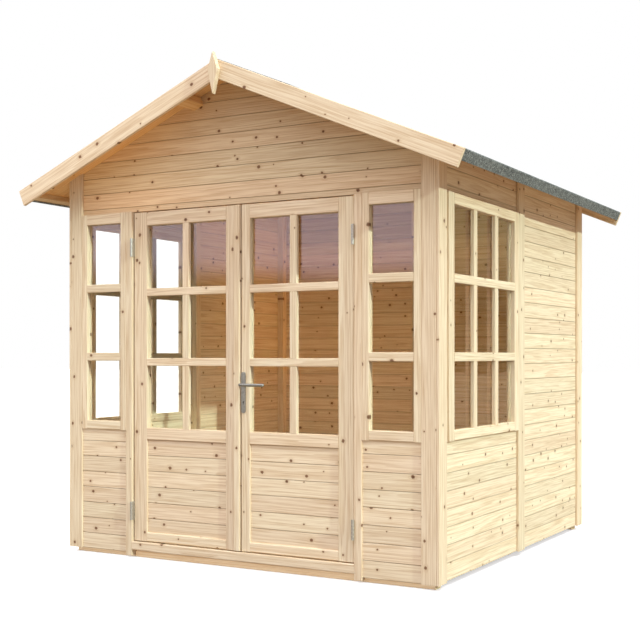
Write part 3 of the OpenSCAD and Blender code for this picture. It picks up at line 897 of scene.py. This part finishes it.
# Door leaves: planed stiles and rails with two by three panes over a panel of level boards.
# The left leaf carries a cover strip over the joint between the leaves.
leaf_t = 0.045
hinge_stile_w = 0.082
leaf_top_rail_h = 0.068
lock_rail_h = 0.060
leaf_foot_rail_h = 0.045
leaf_columns = 2
leaf_bar = 0.039
leaf_bar_heights = (1.0005, 1.3545)
strip_ease = 0.004
for label, side in (("left", -1), ("right", 1)):
    body = label + "_leaf"
    low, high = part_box(label + "_leaf_frame")
    panel_low, panel_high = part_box(label + "_leaf_panel")
    glass_low, glass_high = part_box(label + "_leaf_glass")
    width = high.x - low.x
    inner_x = low.x if side > 0 else high.x
    leaf = Opening((inner_x, low.y, 0), X * side, Y)
    edges = sorted(abs(x - inner_x) for x in (glass_low.x, glass_high.x))
    meeting_w = edges[0] + rebate_w
    hinge_x = width - hinge_stile_w
    glass_foot = glass_low.z + rebate_w
    panes = (meeting_w, hinge_x, glass_foot, glass_high.z - rebate_w)
    joinery = leaf.frame(width, low.z, high.z, meeting_w, hinge_stile_w,
                         leaf_foot_rail_h, leaf_top_rail_h, leaf_t)
    lock_rail = rebated_outline(lock_rail_h, leaf_t)
    joinery.append(leaf.level(lock_rail, glass_foot - lock_rail_h / 2, meeting_w, hinge_x))
    bars = leaf.bars(*panes, leaf_columns, leaf_bar_heights, leaf_bar, leaf_bar)
    beads = leaf.beads(*panes)
    joined_piece(body + "_joinery", joinery, planed_spruce, body, "planed_spruce", body + "_frame")
    joined_piece(body + "_bars", bars, planed_spruce, body, "planed_spruce")
    joined_piece(body + "_beads", beads, planed_spruce, body, "planed_spruce")
    panel = board_field(panel_low, panel_high, 0, 2, -1, panel_high.z - rebate_w)
    joined_piece(body + "_boards", panel, cladding, body, "cladding", body + "_panel")
low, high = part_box("cover_strip")
joined_piece("cover_strip_planed", [timber(low, high, 2, strip_ease)], planed_spruce,
             "left_leaf", "planed_spruce", "cover_strip")


# Hinges and handle: zinc-plated steel lift-off hinges, and a steel lever on a long plate with a keyhole.
# They are screwed to the leaves and the door posts, and keep the shapes of their solids.
def steel_finish(name, colour, rough):
    """Steel with cloudy spots and fine drawn lines."""
    dull_share = 0.72
    drawn_lines = (2600.0, 2600.0, 130.0)
    finish, tree, skin = new_finish(name)
    skin.inputs["Metallic"].default_value = 1.0
    at = shader_node(tree, "ShaderNodeTexCoord").outputs["Object"]
    spots, _ = cloud(tree, at, 3.0, 160.0)
    lines, _ = cloud(tree, vector_calc(tree, "MULTIPLY", at, drawn_lines), 2.0)
    dull = tuple(value * dull_share for value in colour[:3]) + (1,)
    tree.links.new(blend(tree, remap(tree, spots, 0.35, 0.7), colour, dull), skin.inputs["Base Color"])
    uneven = calc(tree, "MULTIPLY_ADD", spots, 0.22, rough - 0.1)
    tree.links.new(uneven, skin.inputs["Roughness"])
    add_relief(tree, skin, lines, 0.25, 0.0002)
    return finish


zinc = steel_finish("zinc_plated_steel", (0.66, 0.64, 0.60, 1), 0.46)
satin_steel = steel_finish("satin_steel", (0.48, 0.48, 0.47, 1), 0.38)
lever_steel = steel_finish("lever_steel", (0.36, 0.355, 0.34, 1), 0.36)
refinish(zinc, "left_leaf_hinges", "right_leaf_hinges", "post_hinges")
refinish(satin_steel, "handle_plate")
refinish(lever_steel, "handle_lever")


# Keyhole sheet: a thin sheet on the right leaf at the back of the handle's plate, made to the outline of the
# keyhole, which only the hole shows.
# Its near-black steel is painted shade: it stands for the dark depth behind the keyhole.
keyhole_shade_black = steel_finish("keyhole_shade_black", (0.03, 0.028, 0.025, 1), 0.6)
keyhole_r = 0.0039
keyhole_slot_l = 0.0119
keyhole_below_top = 0.1452
keyhole_arc_start = -60
keyhole_arc = 300
keyhole_steps = 20
keyhole_sheet_t = 0.0012
low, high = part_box("handle_plate")
keyhole = []
for i in range(keyhole_steps + 1):
    turn = math.radians(keyhole_arc_start + keyhole_arc * i / keyhole_steps)
    keyhole.append((keyhole_r * math.cos(turn), keyhole_r * math.sin(turn)))
keyhole += [(-keyhole_r / 2, -keyhole_slot_l), (keyhole_r / 2, -keyhole_slot_l)]
keyhole_sheet_at = Vector(((low.x + high.x) / 2, high.y, high.z - keyhole_below_top))
keyhole_sheet = stick(keyhole, keyhole_sheet_at, -Y, X, Z, keyhole_sheet_t)
joined_piece("keyhole_shade_sheet", [keyhole_sheet], keyhole_shade_black, "right_leaf", "steel")


# Studio floor: a wide, matt, pale floor that the house stands on, a hair under its bearers.
# Seen straight it is white, and the light that it throws back on the house is dim and warm.
floor_reach = 60.0
floor_under = 0.0005
floor_seen = (0.8, 0.8, 0.8, 1)
floor_thrown = (0.23, 0.175, 0.11, 1)
floor_glow = (0.60, 0.60, 0.60, 1)
no_glow = (0.0, 0.0, 0.0, 1)
floor_finish, tree, skin = new_finish("studio_floor")
skin.inputs["Roughness"].default_value = 0.9
skin.inputs["Specular IOR Level"].default_value = 0.0
skin.inputs["Emission Strength"].default_value = 1.0
path = shader_node(tree, "ShaderNodeLightPath").outputs
bounces = calc(tree, "ADD", path["Diffuse Depth"], path["Glossy Depth"])
bounced = calc(tree, "GREATER_THAN", bounces, 0.5)
tree.links.new(blend(tree, bounced, floor_seen, floor_thrown), skin.inputs["Base Color"])
tree.links.new(blend(tree, bounced, floor_glow, no_glow), skin.inputs["Emission Color"])
corners = [(x * floor_reach, y * floor_reach, 0) for x, y in ((-1, -1), (1, -1), (1, 1), (-1, 1))]
floor_mesh = bpy.data.meshes.new("studio_floor")
floor_mesh.from_pydata(corners, [], [(0, 1, 2, 3)])
floor_mesh.materials.append(floor_finish)
floor = bpy.data.objects.new("studio_floor", floor_mesh)
floor.location.z = -floor_under
bpy.context.scene.collection.objects.link(floor)


# Studio lights: a key light from the right that grazes the front and leaves out the floor.
# A soft one from the front falls on the bearers, and weak warm ones fall on the boards of the room,
# the rear wall and the verge.
def new_light(name, kind, energy, colour, *pieces):
    """Light that is linked to a few pieces, with the links."""
    lamp = bpy.data.objects.new(name, bpy.data.lights.new(name, kind))
    lamp.data.energy = energy
    lamp.data.color = colour
    bpy.context.scene.collection.objects.link(lamp)
    linked = bpy.data.collections.new("pieces_of_" + name)
    for piece in pieces:
        linked.objects.link(bpy.data.objects[piece])
    lamp.light_linking.receiver_collection = linked
    return lamp, linked


def sun_light(name, energy, degrees, colour, source, *pieces):
    """Distant light from a direction, as soft as its width in degrees, with its links."""
    lamp, linked = new_light(name, "SUN", energy, colour, *pieces)
    lamp.data.angle = math.radians(degrees)
    lamp.rotation_euler = Vector(source).to_track_quat("Z", "Y").to_euler()
    return linked


def fill_light(name, energy, size, colour, place, facing, *pieces):
    """Weak area light that falls on a few pieces only, and that no ray sees."""
    lamp, _ = new_light(name, "AREA", energy, colour, *pieces)
    lamp.data.size = size
    lamp.location = place
    lamp.rotation_euler = Vector(facing).to_track_quat("-Z", "Y").to_euler()
    lamp.visible_camera = False
    lamp.visible_glossy = False
    lamp.visible_transmission = False


not_lit = sun_light("key_light", 2.42, 1.2, (0.805, 0.995, 0.885), (5.8, -1.0, 2.8), "studio_floor")
not_lit.collection_objects[0].light_linking.link_state = "EXCLUDE"
fill_light("room_light", 2.9, 0.6, (1.0, 0.46, 0.12), (-0.1, 0.75, 1.25), (-1.0, 0.0, -0.05),
           "left_wall_rear_boards", "inner_posts")
fill_light("rear_light", 2.9, 1.0, (1.0, 0.34, 0.06), (-0.3, -0.55, 1.2), (0.0, 1.0, 0.0),
           "rear_left_boards", "rear_right_boards")
fill_light("verge_light", 1.15, 0.5, (1.0, 0.62, 0.26), (-0.6, -1.6, 1.7), (-0.3, 0.5, 0.6),
           "left_roof_boards", "purlins_sawn", "front_gable_boards")
sun_light("foot_light", 2.5, 20, (1.0, 0.98, 0.97), (0.1, -1.0, 0.02), "floor_bearers_sawn")


# Studio sky: white where it is seen straight, pale before the front, dim on the right and bright overhead.
# Through glass it lights the room more warmly, and the panes mirror a dim wall with a bright part above it.
left_grey = (0.60, 0.60, 0.62, 1)
right_dim = (0.17, 0.16, 0.15, 1)
front_pale = (0.83, 0.805, 0.81, 1)
overhead = (3.0, 3.0, 3.05, 1)
indoors_gain = (2.4, 2.0, 1.4, 1)
front_wall = (0.38, 0.29, 0.14, 1)
side_wall_low = (0.075, 0.07, 0.025, 1)
side_wall_high = (0.56, 0.44, 0.215, 1)
over_wall = (2.2, 2.0, 2.45, 1)
white = (1.0, 1.0, 1.0, 1)
white_through_glass = (1.4, 1.4, 1.4, 1)
front_wall_top = 0.072
side_wall_rise = 0.33
world = bpy.data.worlds.new("studio")
bpy.context.scene.world = world
world.use_nodes = True
tree = world.node_tree
direction = shader_node(tree, "ShaderNodeTexCoord").outputs["Generated"]
right, back, height = parts_of(tree, direction)
path = shader_node(tree, "ShaderNodeLightPath").outputs
light = blend(tree, remap(tree, right, -0.4, 0.2), left_grey, right_dim)
light = blend(tree, remap(tree, back, 0.3, -0.8), light, front_pale)
light = blend(tree, remap(tree, height, 0.40, 0.85), light, overhead)
indoors = blend(tree, 1.0, light, indoors_gain, "MULTIPLY")
light = blend(tree, path["Is Transmission Ray"], light, indoors)
to_side = remap(tree, back, -0.1, 0.3)
side_wall = blend(tree, remap(tree, height, 0.045, 0.090), side_wall_low, side_wall_high)
dim_wall = blend(tree, to_side, front_wall, side_wall)
wall_top = calc(tree, "MULTIPLY_ADD", to_side, side_wall_rise, front_wall_top)
above = remap(tree, calc(tree, "SUBTRACT", height, wall_top), -0.012, 0.016)
mirrored = blend(tree, above, dim_wall, over_wall)
direct = calc(tree, "LESS_THAN", path["Diffuse Depth"], 0.5)
glossy = calc(tree, "GREATER_THAN", path["Glossy Depth"], 0.5)
straight = calc(tree, "MAXIMUM", path["Is Camera Ray"], path["Is Singular Ray"])
straight = calc(tree, "MULTIPLY", straight, direct)
seen = blend(tree, path["Is Transmission Ray"], white, white_through_glass)
seen = blend(tree, glossy, seen, mirrored)
tree.links.new(blend(tree, straight, light, seen), tree.nodes["Background"].inputs["Color"])
bpy.context.scene.view_settings.view_transform = "Standard"
